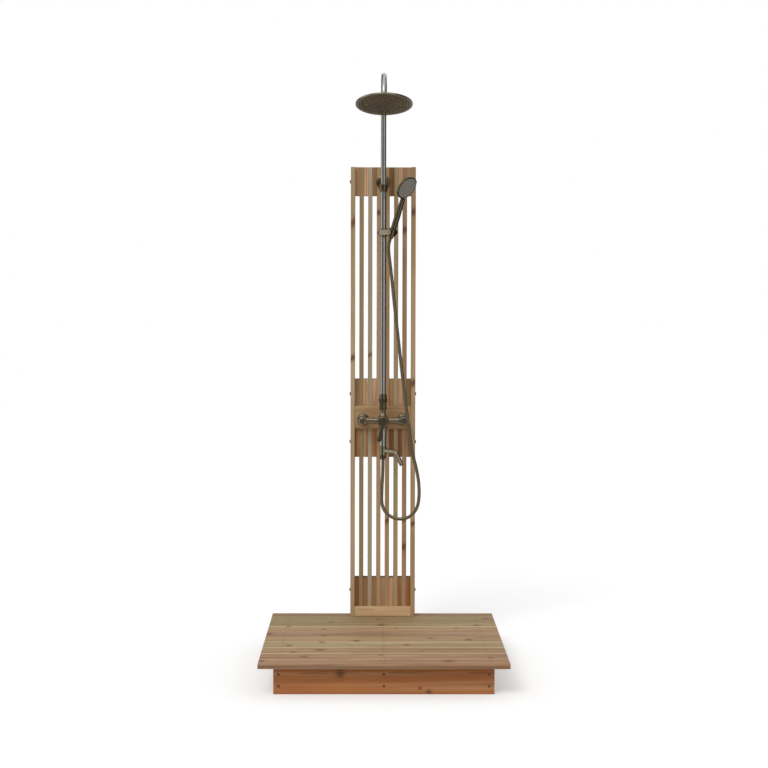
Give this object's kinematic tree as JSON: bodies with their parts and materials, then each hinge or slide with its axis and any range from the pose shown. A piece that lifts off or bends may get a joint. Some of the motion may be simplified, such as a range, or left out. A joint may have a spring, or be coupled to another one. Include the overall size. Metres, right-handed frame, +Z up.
{
  "type": "outdoor shower post",
  "caption": "Slatted timber post on a square slatted deck, with an exposed shower mixer, an arched rain head, a handset on a sliding holder and a swivel spout.",
  "frame": {"origin": "on the ground, under the middle of the deck", "axes": "+Z up, +Y towards the post from the front of the deck, +X to the right of someone who faces the post"},
  "size_m": [0.915, 0.939, 2.335],
  "materials": {
    "deck_cedar": "weathered, matt",
    "apron_cedar": "oiled, matt",
    "frame_timber": "sawn",
    "slat_cedar": "weathered, matt",
    "spacer_cedar": "oiled, matt",
    "panel_cedar": "oiled, matt",
    "fasteners": "zinc",
    "fittings": "dark brushed",
    "pipe": "dark brushed",
    "hose_metal": "dark brushed",
    "spray_faces": "metal-look plating",
    "plated_plastic": "dark brushed metal-look plating",
    "liners": "moulded"
  },
  "bodies": {
    "post_and_mixer": {"deck_board_01": "deck_cedar", "deck_board_02": "deck_cedar", "deck_board_03": "deck_cedar", "deck_board_04": "deck_cedar", "deck_board_05": "deck_cedar", "deck_board_06": "deck_cedar", "deck_board_07": "deck_cedar", "deck_board_08": "deck_cedar", "deck_board_09": "deck_cedar", "deck_board_10": "deck_cedar", "front_apron": "apron_cedar", "rear_apron": "apron_cedar", "deck_joists": "frame_timber", "slat_1": "slat_cedar", "slat_2": "slat_cedar", "slat_3": "slat_cedar", "slat_4": "slat_cedar", "slat_5": "slat_cedar", "slat_6": "slat_cedar", "slat_7": "slat_cedar", "slat_8": "slat_cedar", "top_spacers": "spacer_cedar", "middle_spacers": "spacer_cedar", "bottom_spacers": "spacer_cedar", "mixer_board": "panel_cedar", "toe_board": "panel_cedar", "foot_screws": "fasteners", "through_bolts": "fasteners", "bolt_nuts": "fasteners", "inlet_tails": "fittings", "union_nuts": "fittings", "escutcheons": "fittings", "tail_backnuts": "fasteners", "mixer_body": "fittings", "cartridge": "liners", "cartridge_nut": "fittings", "riser_nut": "fittings", "lower_column": "fittings", "hose_nut": "fittings", "hose": "hose_metal", "outer_riser": "pipe", "wall_bracket": "fittings"},
    "riser_arm": {"arch_arm": "pipe", "swivel_ball": "fittings"},
    "ball_seat": {"ball_seat": "liners"},
    "rain_head": {"swivel_nut": "fittings", "rain_head": "fittings", "rain_plate": "fittings"},
    "slider_bush": {"slider_bush": "liners"},
    "slider": {"slider": "fittings"},
    "slider_knob": {"slider_knob": "fittings"},
    "handset_holder": {"handset_holder": "fittings"},
    "hose_cone": {"hose_cone": "fittings"},
    "handset": {"handset": "plated_plastic", "spray_plate": "spray_faces"},
    "spindle": {"spindle": "fittings"},
    "lever": {"lever": "fittings"},
    "diverter_knob": {"diverter_knob": "fittings"},
    "spout": {"spout": "fittings", "aerator": "liners"}
  },
  "joints": [
    {"name": "riser_height", "type": "slide", "parent": "post_and_mixer", "child": "riser_arm", "axis": [0, 0, 1], "range_m": [-0.2, 0.06]},
    {"name": "head_fore_tilt", "type": "hinge", "parent": "riser_arm", "child": "ball_seat", "pos_m": [0, 0.09114, 2.22069], "axis": [1, 0, 0], "range_deg": [-15, 15]},
    {"name": "head_side_tilt", "type": "hinge", "parent": "ball_seat", "child": "rain_head", "pos_m": [0, 0.09114, 2.22069], "axis": [0, -0.9636, 0.2672], "range_deg": [-15, 15]},
    {"name": "slider_height", "type": "slide", "parent": "post_and_mixer", "child": "slider_bush", "axis": [0, 0, 1], "range_m": [-0.5, 0.11], "deforming": ["hose"]},
    {"name": "slider_swivel", "type": "hinge", "parent": "slider_bush", "child": "slider", "pos_m": [0, 0.324, 1.706], "axis": [0, 0, 1], "range_deg": [-48, 30], "deforming": ["hose"]},
    {"name": "clamp_screw", "type": "hinge", "parent": "slider", "child": "slider_knob", "pos_m": [0, 0.324, 1.706], "axis": [0.7431, -0.6691, 0], "range_deg": [-90, 90]},
    {"name": "holder_tilt", "type": "hinge", "parent": "slider", "child": "handset_holder", "pos_m": [0.03567, 0.29188, 1.706], "axis": [0.6691, 0.7431, 0], "range_deg": [-12, 12], "deforming": ["hose"]},
    {"name": "handset_lift", "type": "slide", "parent": "handset_holder", "child": "hose_cone", "axis": [0.2904, -0.2614, 0.9205], "range_m": [0, 0.045], "deforming": ["hose"]},
    {"name": "handset_twist", "type": "hinge", "parent": "hose_cone", "child": "handset", "pos_m": [0.03567, 0.29188, 1.706], "axis": [0.2904, -0.2614, 0.9205], "range_deg": [-90, 90]},
    {"name": "temperature", "type": "hinge", "parent": "post_and_mixer", "child": "spindle", "pos_m": [0, 0.293, 0.939], "axis": [0, 1, 0], "range_deg": [-57, 33]},
    {"name": "flow", "type": "hinge", "parent": "spindle", "child": "lever", "pos_m": [0, 0.293, 0.939], "axis": [-0.9781, 0, 0.2079], "range_deg": [0, 18]},
    {"name": "diverter", "type": "hinge", "parent": "post_and_mixer", "child": "diverter_knob", "pos_m": [0, 0.324, 1], "axis": [0, 0, 1], "range_deg": [-60, 60]},
    {"name": "spout_swivel", "type": "hinge", "parent": "post_and_mixer", "child": "spout", "pos_m": [0, 0.324, 0.8146], "axis": [0, 0, 1], "range_deg": [-110, 10]}
  ]
}
